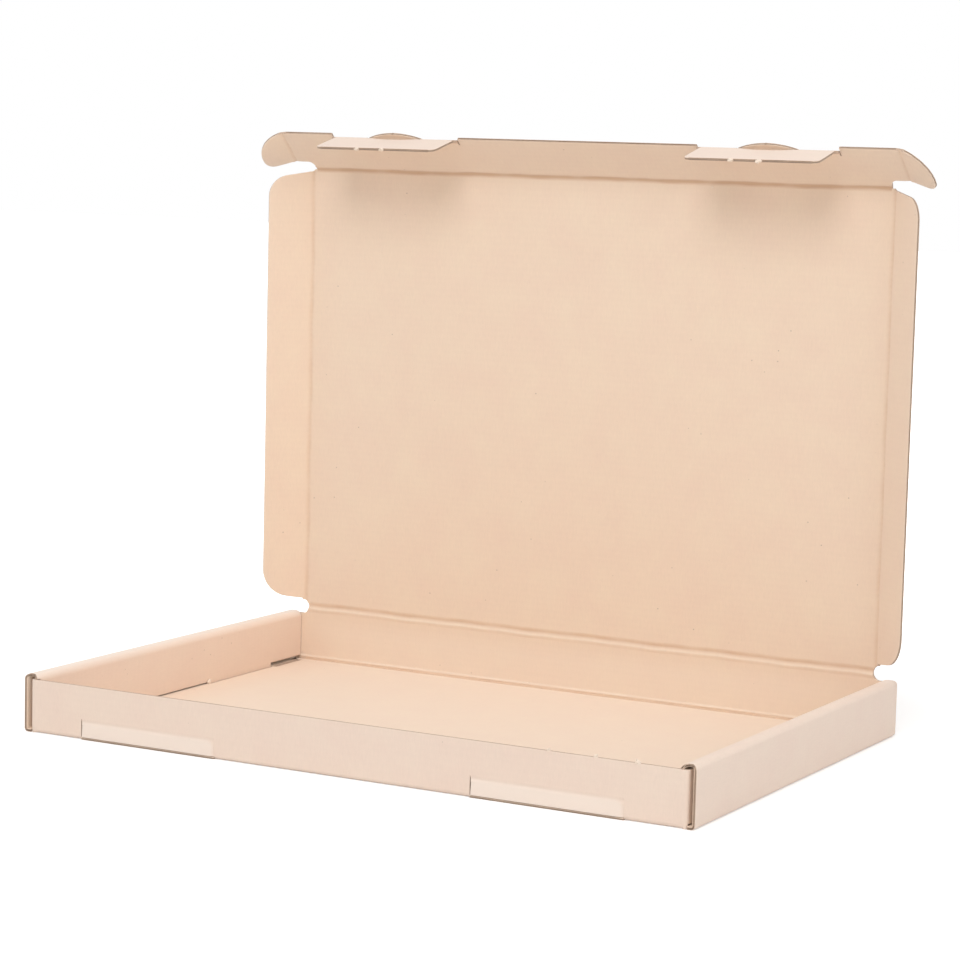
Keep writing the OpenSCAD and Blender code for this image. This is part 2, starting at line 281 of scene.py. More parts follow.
class Paper:
    """Gathers closed sheets of paper in box millimetres for one piece."""

    def __init__(self):
        self.points, self.quads, self.kinds, self.flat, self.wear_and_painted_light = [], [], [], [], []
        self.count = 0

    def sheet(self, u, v, low, high, place, kinds, wear_and_painted_light=None):
        """A closed sheet between the offsets low and high of the grid (u, v).
        kinds are the papers of its low side, high side and rim."""
        u, v, low, high = np.broadcast_arrays(u, v, low, high)
        rows, columns = u.shape
        flat = np.concatenate([
            np.stack([u, v, low], -1).reshape(-1, 3),
            np.stack([u, v, high], -1).reshape(-1, 3),
        ])
        points = place(flat)
        faces = sheet_faces(rows, columns)
        quads = np.concatenate(faces)
        if signed_volume(points - points.mean(0), quads) < 0:
            quads = quads[:, ::-1]
        self.points.append(points)
        self.quads.append(quads + self.count)
        self.kinds.append(np.repeat(kinds, [len(f) for f in faces]))
        self.flat.append(flat[:, :2])
        self.wear_and_painted_light.append(np.zeros(len(flat)) if wear_and_painted_light is None else np.tile(np.broadcast_to(wear_and_painted_light, u.shape).ravel(), 2))
        self.count += len(flat)

    def piece(self, name, materials):
        """The gathered sheets as one Blender object, in metres, at the origin."""
        points, quads = np.concatenate(self.points) * MM, np.concatenate(self.quads)
        mesh = bpy.data.meshes.new(name)
        mesh.vertices.add(len(points))
        mesh.vertices.foreach_set("co", points.astype(np.float32).ravel())
        mesh.loops.add(quads.size)
        mesh.loops.foreach_set("vertex_index", quads.astype(np.int32).ravel())
        mesh.polygons.add(len(quads))
        mesh.polygons.foreach_set("loop_start", np.arange(0, quads.size, 4, dtype=np.int32))
        for material in materials:
            mesh.materials.append(material)
        mesh.polygons.foreach_set("material_index", np.concatenate(self.kinds).astype(np.int32))
        uv = mesh.uv_layers.new(name="sheet")
        flat = np.concatenate(self.flat)[quads.ravel()] * MM
        uv.data.foreach_set("uv", flat.astype(np.float32).ravel())
        # this attribute carries rubbing, painted highlight and sheen above 0, and pressed creases and painted shade
        # below 0
        wear_and_painted_light = mesh.attributes.new("wear_and_painted_light", "FLOAT", "POINT")
        wear_and_painted_light.data.foreach_set("value", np.concatenate(self.wear_and_painted_light).astype(np.float32))
        mesh.update(calc_edges=True)
        mesh.validate()
        mesh.shade_smooth()
        mesh.set_sharp_from_angle(angle=math.radians(32))
        made = bpy.data.objects.new(name, mesh)
        bpy.context.scene.collection.objects.link(made)
        print("%-22s %6d points %6d quads" % (name, len(points), len(quads)))
        return made


# %% [markdown]
# ## Corrugated board
#
# A panel of board is an inside liner, an outside liner and the fluting between
# them. The liners need few points, because they are nearly flat. The fluting
# needs many across the flutes and few along them. A die presses the board
# together where it cuts, so the layers come closer over the last millimetre
# before a cut edge, and not where a panel runs on into a crease.

# %% The three layers of a panel
NEAR_EDGE = np.array([0.0, 0.35, 0.9, 2.0])
CRUSH, CRUSH_REACH = 0.32, 0.6       # how much a cut edge is pressed, and how far in
EDGE_RUB, EDGE_REACH = 0.5, 0.35     # how pale it is rubbed, and how far in
ALONG_FLUTES = 0.55   # a cut along the flutes crushes as if it were this much further off
WAVE_STEP = PITCH / 8
FAR = 1e3


def stations(*stops, step=30.0):
    """Positions from the first stop to the last. Each stop is one, and between
    two stops they are even, at most step apart."""
    runs = [np.linspace(a, b, max(2, math.ceil((b - a) / step) + 1)) for a, b in zip(stops[:-1], stops[1:]) if b > a]
    return np.unique(np.round(np.concatenate(runs), 5))


def edged(line, low_cut, high_cut):
    """The same positions, with a few more beside each end that is cut."""
    near = NEAR_EDGE * min(1, 0.45 * (line[-1] - line[0]) / NEAR_EDGE[-1])
    more = [line] + [line[0] + near] * bool(low_cut) + [line[-1] - near] * bool(high_cut)
    return np.unique(np.round(np.concatenate(more), 5))


def half_board(far):
    """Half the board's thickness at a distance from the nearest cut edge:
    half * (1 - CRUSH * exp(-distance / CRUSH_REACH))."""
    return BOARD / 2 * (1 - CRUSH * np.exp(-far / CRUSH_REACH))


def layers(paper, place, panel, wave, relief=None, wear_and_light=0.0):
    """The three closed sheets of one panel. panel and wave are grids (u, v,
    distance to the nearest cut edge). The fluting's middle is
    room * sin(2 pi v / PITCH), where room is what the liners leave it. relief
    gives a height added to the inside face, and a tone for that face: painted
    shade below 0 and painted highlight above. The last argument makes the board
    paler, for rubbing and for painted highlight and sheen, and below 0 darker,
    for painted shade: a number, or a function of (u, v). A cut edge is paler
    still from rubbing, by EDGE_RUB * exp(-distance / EDGE_REACH)."""
    u, v, far = panel
    face = half_board(far)
    raised, shade = (0, 0) if relief is None else relief(u, v)
    wear_and_painted_light = (wear_and_light(u, v) if callable(wear_and_light) else wear_and_light) + EDGE_RUB * np.exp(-far / EDGE_REACH)
    paper.sheet(u, v, face - LINER, face + raised, place, (RAW, INSIDE, RAW), wear_and_painted_light + shade)
    paper.sheet(u, v, -face, LINER - face, place, (OUTSIDE, RAW, RAW), wear_and_painted_light)
    u, v, far = wave
    face = half_board(far)
    middle = (face - LINER - FLUTING / 2) * np.sin(2 * math.pi * v / PITCH)
    paper.sheet(u, v, middle - FLUTING / 2, middle + FLUTING / 2, place, (RAW, RAW, RAW))


def rectangle(paper, u_stops, v_stops, place, cut, step=30.0, relief=None, wear_and_light=0.0):
    """A panel with straight ends, on a grid of u by v with stations at most
    step apart in both. cut says which of its ends are cut: low u, high u, low
    v, high v."""

    def grid(u, v):
        u, v = np.meshgrid(u, v)
        far = np.full(u.shape, FAR)
        beside = v - v.min() + ALONG_FLUTES, v.max() - v + ALONG_FLUTES
        for is_cut, gap in zip(cut, (u - u.min(), u.max() - u, *beside)):
            far = np.minimum(far, gap) if is_cut else far
        return u, v, far

    u = edged(stations(*u_stops, step=step), cut[0], cut[1])
    v = edged(stations(*v_stops, step=step), cut[2], cut[3])
    fine = np.unique(np.round(np.concatenate([np.arange(v[0], v[-1], WAVE_STEP), v_stops]), 5))
    layers(paper, place, grid(u, v), grid(u, fine), relief, wear_and_light)


def shaped(paper, rows, ends, place, cut, inner=6, along=True, wear_and_light=0.0):
    """A panel with shaped ends. With along, its rows run along the flutes at
    the stations v, and ends(v) gives where each starts and stops in u. Without
    it, they run across the flutes at the stations u, and ends(u) is in v. cut
    says which are cut: the rows' starts, their stops, the first and last row."""

    def grid(rows_now, share=None):
        low, high = (np.broadcast_to(np.asarray(e, float), rows_now.shape)[:, None] for e in ends(rows_now))
        if share is None:
            near = NEAR_EDGE * np.minimum(1, 0.3 * (high - low) / NEAR_EDGE[-1])
            left, right = low + near, high - near[:, ::-1]
            middle = left[:, -1:] + (right[:, :1] - left[:, -1:]) * np.linspace(0, 1, inner + 2)[1:-1]
            span = np.hstack([left, middle, right])
        else:
            span = low + (high - low) * share
        line = np.broadcast_to(rows_now[:, None], span.shape)
        far = np.full(span.shape, FAR)
        across, beside = (0, ALONG_FLUTES) if along else (ALONG_FLUTES, 0)
        gaps = (span - low + across, high - span + across, line - rows_now[0] + beside, rows_now[-1] - line + beside)
        for is_cut, gap in zip(cut, gaps):
            far = np.minimum(far, gap) if is_cut else far
        return (span, line, far) if along else (line, span, far)

    rows = np.asarray(rows, float)
    if along:
        fine = np.unique(np.round(np.concatenate([np.arange(rows[0], rows[-1], WAVE_STEP), rows]), 5))
        layers(paper, place, grid(rows), grid(fine), wear_and_light=wear_and_light)
    else:
        low, high = ends(rows)
        count = int(np.max(high - low) / WAVE_STEP) + 2
        layers(paper, place, grid(rows), grid(rows, np.linspace(0, 1, count)), wear_and_light=wear_and_light)


STEEPEST = math.atan(2 * math.pi * (BOARD / 2 - LINER - FLUTING / 2) / PITCH)
print("a flute's steepest slope is %.0f degrees" % math.degrees(STEEPEST))

# %% [markdown]
# ## The paper of the three surfaces
#
# Kraft paper is never one colour. It is a felt of fibres, so it has long soft
# clouds, short streaks along the machine's direction, and a few dark specks of
# bark. One node group makes those as values, and each paper mixes its own
# colours with them. The flutes under the liner also show as very faint darker
# lines: partly glue, because the liner is glued only along their crests, and
# partly painted shade of the shallow valleys between them.

# %% A node group for the fibre pattern
def node(tree, kind, place, feeds=None, **values):
    """A new node. values sets its properties and inputs by name. feeds does it
    by the input's name or number, from another node's output or a constant."""
    made = tree.nodes.new(kind)
    made.location = place
    for key, value in values.items():
        if hasattr(made, key):
            setattr(made, key, value)
        else:
            made.inputs[key.replace("_", " ")].default_value = value
    for key, value in (feeds or {}).items():
        if isinstance(value, bpy.types.NodeSocket):
            tree.links.new(value, made.inputs[key])
        else:
            made.inputs[key].default_value = value
    return made


def emptied(owner):
    """The node tree of a material or a world, with nothing in it."""
    owner.use_nodes = True
    owner.node_tree.nodes.clear()
    return owner.node_tree


def paper_pattern():
    """Outputs: clouds (0 to 1, centimetres wide), fibres (0 to 1, thin streaks
    across the flutes, because paper is made that way round), specks (1 at a
    speck), flutes (-1 to 1 across each flute) and relief, a height for Bump.
    It reads Object coordinates for the felt, and the piece's flat map, whose
    second number runs across the flutes, for the flutes."""
    group = bpy.data.node_groups.new("paper_pattern", "ShaderNodeTree")
    for name in ("clouds", "fibres", "specks", "flutes", "relief"):
        group.interface.new_socket(name, in_out="OUTPUT", socket_type="NodeSocketFloat")
    place = node(group, "ShaderNodeTexCoord", (-900, 0)).outputs["Object"]
    flat = node(group, "ShaderNodeUVMap", (-900, -400), uv_map="sheet").outputs["UV"]

    clouds = node(group, "ShaderNodeTexNoise", (-500, 300), {"Vector": place}, Scale=55.0, Detail=5.0, Roughness=0.62)
    spread = node(group, "ShaderNodeMapRange", (-250, 300), {"Value": clouds.outputs["Fac"]},
                  From_Min=0.3, From_Max=0.7)

    turned = node(group, "ShaderNodeMapping", (-700, 0), {"Vector": flat}, Scale=(5.0, 1.0, 1.0))
    fibres = node(group, "ShaderNodeTexNoise", (-500, 0), {"Vector": turned.outputs["Vector"]},
                  Scale=240.0, Detail=4.0, Roughness=0.62, Distortion=0.8)
    fine = node(group, "ShaderNodeMapRange", (-250, 0), {"Value": fibres.outputs["Fac"]},
                From_Min=0.32, From_Max=0.68)

    cells = node(group, "ShaderNodeTexVoronoi", (-500, -250), {"Vector": place},
                 feature="F1", Scale=150.0, Randomness=1.0)
    near = node(group, "ShaderNodeMapRange", (-250, -250), {"Value": cells.outputs["Distance"]},
                From_Min=0.02, From_Max=0.07, To_Min=1.0, To_Max=0.0)
    chosen = node(group, "ShaderNodeSeparateColor", (-250, -420), {"Color": cells.outputs["Color"]})
    rare = node(group, "ShaderNodeMath", (-50, -420), {0: chosen.outputs["Red"], 1: 0.8}, operation="GREATER_THAN")
    speck = node(group, "ShaderNodeMath", (120, -300), {0: near.outputs["Result"], 1: rare.outputs["Value"]},
                 operation="MULTIPLY")

    parts = node(group, "ShaderNodeSeparateXYZ", (-700, -600), {"Vector": flat})
    turns = node(group, "ShaderNodeMath", (-500, -600), {0: parts.outputs["Y"], 1: 2 * math.pi / (PITCH * MM)},
                 operation="MULTIPLY")
    wave = node(group, "ShaderNodeMath", (-300, -600), {0: turns.outputs["Value"]}, operation="SINE")

    felt = node(group, "ShaderNodeTexNoise", (-500, -850), {"Vector": place}, Scale=900.0, Detail=3.0, Roughness=0.6)
    ribs = node(group, "ShaderNodeMath", (300, -600), {0: wave.outputs["Value"], 1: 0.14, 2: felt.outputs["Fac"]},
                operation="MULTIPLY_ADD")
    total = node(group, "ShaderNodeMath", (500, -500), {0: fine.outputs["Result"], 1: 0.5, 2: ribs.outputs["Value"]},
                 operation="MULTIPLY_ADD")
    node(group, "NodeGroupOutput", (1200, 0), {
        "clouds": spread.outputs["Result"], "fibres": fine.outputs["Result"], "specks": speck.outputs["Value"],
        "flutes": wave.outputs["Value"], "relief": total.outputs["Value"]})
    return group


PATTERN = paper_pattern()
print("pattern outputs:", [item.name for item in PATTERN.interface.items_tree])

# %% A paper material from its colours
PRESSED_AND_SHADED = (0.78, 0.68, 0.58)      # share of the deep tone's red, green and blue that is left below 0: pressed creases and painted shade


def kraft(name, pale, deep, rubbed_and_lit_tone, speck, streak, flute, roughness, bump):
    """Base colour: pale to deep by the clouds, then darker by streak where
    there is no fibre, by flute in the flutes' valleys, and speck at a speck.
    Where the wear and light attribute is above 0 it takes its pale tone, for
    rubbing and for painted highlight and sheen, and where it is below 0 it is
    deeper, for pressed creases and for painted shade."""
    material = bpy.data.materials.new(name)
    tree = emptied(material)
    pattern = node(tree, "ShaderNodeGroup", (-900, 0), node_tree=PATTERN).outputs
    wear_and_painted_light = node(tree, "ShaderNodeAttribute", (100, 600), attribute_name="wear_and_painted_light").outputs["Fac"]

    def mixed(x, factor, a, b, blend="MIX"):
        """The colour a, taken towards b by factor."""
        made = node(tree, "ShaderNodeMix", (x, 300), {"Factor": factor, "A": a, "B": b},
                    data_type="RGBA", blend_type=blend, clamp_factor=True)
        return made.outputs["Result"]

    shade = mixed(-600, pattern["clouds"], (*pale, 1), (*deep, 1))
    for output, lowest, share, x in (("fibres", 0.0, streak, -400), ("flutes", -1.0, flute, -200)):
        level = node(tree, "ShaderNodeMapRange", (x, 0), {"Value": pattern[output]},
                     From_Min=lowest, To_Min=1 - share)
        shade = mixed(x + 60, 1.0, shade, level.outputs["Result"], "MULTIPLY")
    shade = mixed(100, pattern["specks"], shade, (*speck, 1))
    shade = mixed(300, wear_and_painted_light, shade, (*rubbed_and_lit_tone, 1))
    sunk = node(tree, "ShaderNodeMath", (300, 600), {0: wear_and_painted_light, 1: -1.0}, operation="MULTIPLY")
    shade = mixed(450, sunk.outputs["Value"], shade, (*[c * k for c, k in zip(deep, PRESSED_AND_SHADED)], 1))
    dull = node(tree, "ShaderNodeMapRange", (300, -100), {"Value": pattern["fibres"]},
                To_Min=roughness - 0.06, To_Max=roughness + 0.05)
    raised = node(tree, "ShaderNodeBump", (300, -400), {"Height": pattern["relief"]}, Strength=bump, Distance=0.00006)
    surface = node(tree, "ShaderNodeBsdfPrincipled", (600, 0), {
        "Base Color": shade, "Roughness": dull.outputs["Result"], "Normal": raised.outputs["Normal"],
        "Specular IOR Level": 0.3, "Sheen Weight": 0.28, "Sheen Roughness": 0.6})
    node(tree, "ShaderNodeOutputMaterial", (900, 0), {"Surface": surface.outputs["BSDF"]})
    return material


INSIDE_PAPER = kraft(
    "kraft_inside_liner", pale=(0.870, 0.691, 0.530), deep=(0.856, 0.659, 0.514), rubbed_and_lit_tone=(0.90, 0.764, 0.636),
    speck=(0.52, 0.40, 0.30), streak=0.035, flute=0.008, roughness=0.82, bump=0.4)
OUTSIDE_PAPER = kraft(
    "kraft_outside_liner", pale=(0.868, 0.701, 0.577), deep=(0.856, 0.671, 0.557), rubbed_and_lit_tone=(0.90, 0.775, 0.675),
    speck=(0.50, 0.40, 0.31), streak=0.035, flute=0.006, roughness=0.80, bump=0.4)
FLUTE_PAPER = kraft(
    "kraft_fluting", pale=(0.620, 0.450, 0.330), deep=(0.540, 0.380, 0.275), rubbed_and_lit_tone=(0.60, 0.44, 0.325),
    speck=(0.42, 0.30, 0.22), streak=0.10, flute=0.0, roughness=0.92, bump=0.6)
PAPERS = [INSIDE_PAPER, OUTSIDE_PAPER, FLUTE_PAPER]
print("papers:", [material.name for material in PAPERS])

# %% [markdown]
# ## Nicks
#
# While the sheet is in the die, small uncut bridges hold it to its waste. When
# they are torn, each leaves a pale tuft of fibres on the cut edge. The box has
# a few, so one helper makes a ragged chip wherever one is wanted.

# %% Nicks
TORN = np.random.default_rng(12)
NICK_RUB = 0.85       # torn fibres are nearly as pale as rubbed paper
PULL, ROUGH = 0.28, 0.25      # spread of the rim's pull, and of the thickness
NICK_THICK = 0.62             # half a nick's thickness, as a share of its size


def nick(paper, place, u, v, w, size, hang=0.0):
    """A torn tuft: a square grid drawn in to a disc, a' = a sqrt(1 - b^2 / 2),
    with its rim pulled about, and a thickness of sqrt(1 - r^2). hang makes it
    longer along v."""
    a, b = np.meshgrid(np.linspace(-1, 1, 9), np.linspace(-1, 1, 9))
    x, y = a * np.sqrt(1 - b * b / 2), b * np.sqrt(1 - a * a / 2)
    round_off = np.sqrt(np.clip(1.02 - x * x - y * y, 0.02, 1))
    pulled = 1 + PULL * TORN.standard_normal(x.shape) * (x * x + y * y)
    rough = 1 + ROUGH * TORN.standard_normal(x.shape)
    half = size * NICK_THICK * round_off * rough
    u, v = u + size * x * pulled, v + (size + hang) * y * pulled
    paper.sheet(u, v, w - half, w + half, place, (INSIDE, INSIDE, INSIDE), NICK_RUB)


print("a nick is about 1 mm wide, a flute is %.1f mm" % PITCH)

# %% [markdown]
# ## The tray's floor
#
# The floor lies on the table with its inside liner up. Four slots near its
# ends hold the locking tabs of the rolled walls. The flutes run from side to
# side, so the floor is made as bands across them, narrower where slots are.

# %% Floor
SLOT_IN, SLOT_OUT = ROLL_X - SLOT_CLEAR, ROLL_X + BOARD + SLOT_CLEAR
FLOOR_D = 112.0       # where the floor hands over to the front and back walls
LOCK_TO = LOCK_FROM + LOCK_LEN
FLOOR_SHEEN = 0.3       # painted sheen: the floor is painted a little paler all over, for the sheen it shows seen at a low angle
SAG_WIDTH = 1.5
SAG_DEPTH, SAG_SHADE = 0.5, 1.3
NO_CUT, ENDS_CUT = (False,) * 4, (True, True, False, False)


def sag(u, v):
    """Beside the gap in the left rear corner the floor sags, and painted shade
    darkens it there, both by exp(-((u - place) / width)^2), from a little behind
    the locking slot."""
    dip = np.exp(-((u + ROLL_X - 0.8) / SAG_WIDTH) ** 2) * np.clip((v - LOCK_TO - 1) / 1.5, 0, 1)
    return -SAG_DEPTH * dip, -SAG_SHADE * dip


floor = Paper()
floor_at = flat_place((0, 0, BOARD / 2), (1, 0, 0), (0, 1, 0), (0, 0, 1))
across_sag = [-ROLL_X + d for d in (-1, 0, 0.6, 1.2, 1.9, 2.7, 4)]
behind_slot = [LOCK_TO + d for d in (0, 1, 2.5)]
rectangle(floor, (-SLOT_OUT, SLOT_OUT), (-FLOOR_D, -LOCK_TO), floor_at, NO_CUT, wear_and_light=FLOOR_SHEEN)
rectangle(floor, (-SLOT_OUT, SLOT_OUT), (-LOCK_FROM, LOCK_FROM), floor_at, NO_CUT, wear_and_light=FLOOR_SHEEN)
rectangle(floor, (-SLOT_OUT, *across_sag, SLOT_OUT), (*behind_slot, FLOOR_D), floor_at, NO_CUT,
          relief=sag, wear_and_light=FLOOR_SHEEN)
for v0, v1 in ((-LOCK_TO, -LOCK_FROM), (LOCK_FROM, LOCK_TO)):
    rectangle(floor, (-SLOT_IN, SLOT_IN), (v0, v1), floor_at, ENDS_CUT, wear_and_light=FLOOR_SHEEN)
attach(floor.piece("tray_floor", PAPERS), "tray")

# %% [markdown]
# ## The rolled side walls
#
# Each side wall is folded up, over, and down again inside, and locks itself
# with two tabs in the floor. It is the cleverest part of the box, because it
# needs no glue. One path carries the whole strip: up, over the narrow top, and
# down. The die rounds the top corners of its ends, and the inner layer is cut
# back in front and behind, where the front and back walls pass it.

# %% Rolled walls
ROLL, ROLL_STOPS = fold_path([
    (HALF_W - FOLD_R - SLOT_OUT, 90, FOLD_R - BOARD / 2),
    (SIDE_H - FOLD_R - ROLL_OUT_R, 90, ROLL_OUT_R - BOARD / 2),
    (ROLL_W - ROLL_OUT_R - ROLL_IN_R, 90, ROLL_IN_R - BOARD / 2),
    (SIDE_H - ROLL_IN_R - BOARD, 0, 0),
])
ROLL_END = ROLL_STOPS[-1]
SPINE_AT = max(s for s in ROLL_STOPS if s < 34)     # the spine starts after the second bend
END_ROUND = 2.0                   # radius of the strip's corners
STEP_AT, STEP = 2.25, 0.1         # the strip's ends step out here, past the floor's band
INNER_LOW = BOARD + LOCK_RISE     # the inner layer ends this high,
LOCK_LOW, BETWEEN_LOW = 0.2, 2.2  # its locking tabs here, and what is between them here
BRIDGE_Z = FRONT_H + SLOT_CLEAR


def roll_at(points):
    """The right wall: the path gives x and z, and v is the depth y."""
    over, up = ROLL(points[:, 0], points[:, 2])
    return np.stack([SLOT_OUT + over, points[:, 1], BOARD / 2 + up], 1)


def roll_down(z):
    """Distance along the path at which the inner layer is down at height z."""
    return ROLL_END + BOARD - z


def roll_ends(u):
    """How far the strip reaches to the front and to the back. The corner is
    rounded: reach = depth - r + sqrt(r * r - (z - (height - r))^2) above
    height - r, with the outer face's z. Behind, the spine and the inner layer
    stop at the back wall. In front, the inner layer stops below the bridge."""
    _, outer_z = ROLL(u, np.full(u.shape, -BOARD / 2))
    above = np.clip(outer_z + BOARD / 2 - (SIDE_H - END_ROUND), 0, END_ROUND)
    reach = HALF_D - END_ROUND + np.sqrt(END_ROUND ** 2 - above ** 2)
    past_floor = np.clip((u - STEP_AT) / STEP, 0, 1)
    reach = FLOOR_D + (reach - FLOOR_D) * past_floor
    inner_z = outer_z + BOARD / 2
    stopped = HALF_D - BOARD - SLOT_CLEAR
    inside = u > SPINE_AT
    front = np.where(inside & (inner_z < BRIDGE_Z), np.minimum(reach, stopped), reach)
    back = np.where(inside, np.minimum(reach, stopped), reach)
    return -front, back


SPINE_MID = SPINE_AT + (ROLL_W - ROLL_OUT_R - ROLL_IN_R) / 2
SPINE_HIGHLIGHT = {"right": 0.1, "left": 0.8}     # painted highlight on the spines' tops, with a little rubbing; the left spine is whiter in the photograph
INNER_SHADE, REAR_SHADE = -0.14, -0.25         # painted shade: the tucked layers are painted deeper, most so at the rear


def inner_shade(u, v):
    """The tucked layers' painted shade: the inner shade plus the rear shade times
    share^2, where share goes from 0 at the front to 1 at the rear."""
    return INNER_SHADE + REAR_SHADE * np.clip((v + FLOOR_D) / (2 * FLOOR_D), 0, 1) ** 2


def roll_light_and_shade(side):
    """The spine is painted pale, a painted highlight with a little rubbing, by
    exp(-((u - middle) / 4)^2), and what lies past it takes the tucked layers'
    painted shade, on a step two millimetres long."""
    def wear_and_light(u, v):
        past = np.clip((u - SPINE_MID - 4) / 2, 0, 1)
        return SPINE_HIGHLIGHT[side] * np.exp(-((u - SPINE_MID) / 4) ** 2) * (1 - past) + inner_shade(u, v) * past
    return wear_and_light


down = roll_down(INNER_LOW)
bridge_turn = math.acos((BRIDGE_Z - SIDE_H + ROLL_IN_R) / ROLL_IN_R)
bridge = SPINE_AT + ROLL_W - ROLL_OUT_R - ROLL_IN_R + (ROLL_IN_R - BOARD / 2) * bridge_turn
stops = [s for s in ROLL_STOPS if 0 < s < down] + [bridge - STEP / 2, bridge + STEP / 2]
rows = stations(0, STEP_AT, STEP_AT + STEP, *sorted(stops), down)
near, far = LOCK_FROM + SLOT_CLEAR, LOCK_TO - SLOT_CLEAR
for side in SIDES:
    wall = Paper()
    at = on_side(side, roll_at)
    shaped(wall, rows, roll_ends, at, ENDS_CUT, inner=8, along=False, wear_and_light=roll_light_and_shade(side))
    for v0, v1, low in ((-far, -near, LOCK_LOW), (-near, near, BETWEEN_LOW), (near, far, LOCK_LOW)):
        rectangle(wall, (down, roll_down(low)), (v0, v1), at, (False, True, False, False), wear_and_light=inner_shade)
    if side == "left":
        nick(wall, at, roll_down(2.4), near, -BOARD / 2 - 0.4, 1.25)
    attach(wall.piece("tray_rolled_wall_" + side, PAPERS), "tray")

# %% [markdown]
# ## The front and back walls
#
# Both are folded up from the floor, and each carries two corner flaps that
# turn inwards and stand between the layers of the rolled walls. So one strip
# has a fold at its foot and a fold at each end. They never meet, which lets
# one place function do both: the foot's fold below, the corners' above.

# %% Where the walls go
FOOT, FOOT_STOPS = fold_path([(HALF_D - FOLD_R - FLOOR_D, 90, FOLD_R - BOARD / 2), (30, 0, 0)])
CORNER, CORNER_STOPS = fold_path([(0, 90, FOLD_R - BOARD / 2), (CORNER_FLAP, 0, 0)])
TURN_X = CORNER_X - FOLD_R
CORNER_U = [TURN_X + s for s in CORNER_STOPS]
FOOT_TOP = FOOT_STOPS[-2]


def wall_v(z):
    """Distance up the strip at which the wall is at height z."""
    return FOOT_TOP + z - FOLD_R


def wall_at(points):
    """The front wall. x is u and (y, z) is on the foot's path, except past the
    corners, where (x, y) is on the corner's path and z is on the foot's."""
    u, v, w = points.T
    forward, rise = FOOT(v, w)
    over, depth = CORNER(np.abs(u) - TURN_X, w)
    turned = np.abs(u) > TURN_X
    x = np.where(turned, np.sign(u) * (TURN_X + over), u)
    y = np.where(turned, depth - (HALF_D - BOARD / 2), -FLOOR_D - forward)
    return np.stack([x, y, BOARD / 2 + rise], 1)


def back_at(points):
    """The back wall is the front wall's mirror in y."""
    return wall_at(points) * np.array([1.0, -1.0, 1.0])


WALL_LOW = 2.2        # below this the walls end at the corner, above it they turn it
PART_X = 168.0        # the grids are parted here, beside the corner
FOOT_END = CORNER_X - 0.5
WALL_RIDGE, FLOOR_RIDGE = (2.15, 0.42), (-2.1, 0.26)     # place and height of each
foot_v = [s for s in FOOT_STOPS if s < FOOT_TOP + 1e-6]
foot_fine = sorted(set(foot_v) | set(np.linspace(0.8, FOOT_TOP + 4, 26)))
FOOT_MID = (foot_v[1] + FOOT_TOP) / 2


def foot_relief(u, v):
    """Inside a right-angle fold the liner has no room and buckles. It leaves a
    shallow groove with a soft ridge on each side: each is a height times
    exp(-((v - place) / width)^2), and slow waves along u make the ridges uneven.
    The groove is painted as a sharp dark line of painted shade, and the ridges
    get a painted highlight."""
    d = v - FOOT_MID
    uneven = 1 + 0.22 * np.sin(u / 9.7) + 0.16 * np.sin(u / 3.9 + 1.2) + 0.1 * np.sin(u / 1.7)
    on_wall = np.exp(-((d - WALL_RIDGE[0]) / 0.6) ** 2) * uneven
    on_floor = np.exp(-((d - FLOOR_RIDGE[0]) / 0.6) ** 2) * uneven[:, ::-1]
    line = np.exp(-(d / 0.8) ** 2)
    return WALL_RIDGE[1] * on_wall + FLOOR_RIDGE[1] * on_floor - 0.1 * line, 0.15 * (on_wall + on_floor) - 0.9 * line


print("the walls' foot folds are %.2f mm long" % (FOOT_TOP - foot_v[1]))

# %% [markdown]
# The slots at the foot of the front wall take the lock tabs of the closed lid.
# The board is cut on three sides there, and the panel still hangs from a soft
# crease above, pushed out a little at its lower edge. At one end it comes back
# into the wall.

# %% Front wall
SLOT_TILT = math.radians(4)
HINGE_HALF = 1.5             # half the height of the panels' soft creases
SLOT_GAPS = (0.5, 0.05)      # the panels hang a little to the right in their slots
PANEL_LOW = 1.3
# painted highlight: the slot panels are painted paler, for the light that their outward tilt catches
PANEL_HIGHLIGHT = 0.7
PANEL_FADE = 5.0             # at one end they come back into the wall over this length
SLOT_SILL = HALF_D + 0.2     # the floor's cut edge stands out a little under the panels
PINCH, PINCH_REACH = 0.5, 0.9


def sill_at(points):
    """The floor's cut edge under a slot. The die pinches it, so the board is
    half as thick there: w * (1 - PINCH * exp(-distance / PINCH_REACH)), and it
    lies low."""
    u, v, w = points.T
    pinch = PINCH * np.exp(-(v + SLOT_SILL) / PINCH_REACH)
    return np.stack([u, v, BOARD / 2 * (1 - pinch * 0.9) + w * (1 - pinch)], 1)


def slot_panel_at(points, free_end):
    """The slot's panel: v is the height, and below the crease the board turns
    out: y moves by -sin(tilt) for each millimetre down. Towards one end the
    tilt fades by 1 - (1 - distance / PANEL_FADE)^2."""
    u, z, w = points.T
    down = SLOT_H - z
    fade = 1 - np.clip(1 - np.abs(u - free_end) / PANEL_FADE, 0, 1) ** 2
    swing = SLOT_TILT * fade * np.clip((down + 1.0) / 2.0, 0, 1)
    out = np.sin(swing) * np.maximum(down, 0)
    y = -(HALF_D - BOARD / 2) + w * np.cos(swing) - out
    return np.stack([u, y, z + w * np.sin(swing)], 1)


def panel_highlight(u, z, free_end):
    """How pale the panel is painted, a painted highlight for the light its tilt
    catches. It fades at a rounded corner of radius r: with a and b the
    distances to the end and to the crease's top, the outline is
    r - sqrt((r - a)^2 + (r - b)^2) away."""
    a, b = np.abs(u - free_end), SLOT_H + HINGE_HALF - z
    away = PANEL_FADE - np.hypot(np.maximum(PANEL_FADE - a, 0), np.maximum(PANEL_FADE - b, 0))
    return PANEL_HIGHLIGHT * np.clip(away / 1.8, 0, 1)


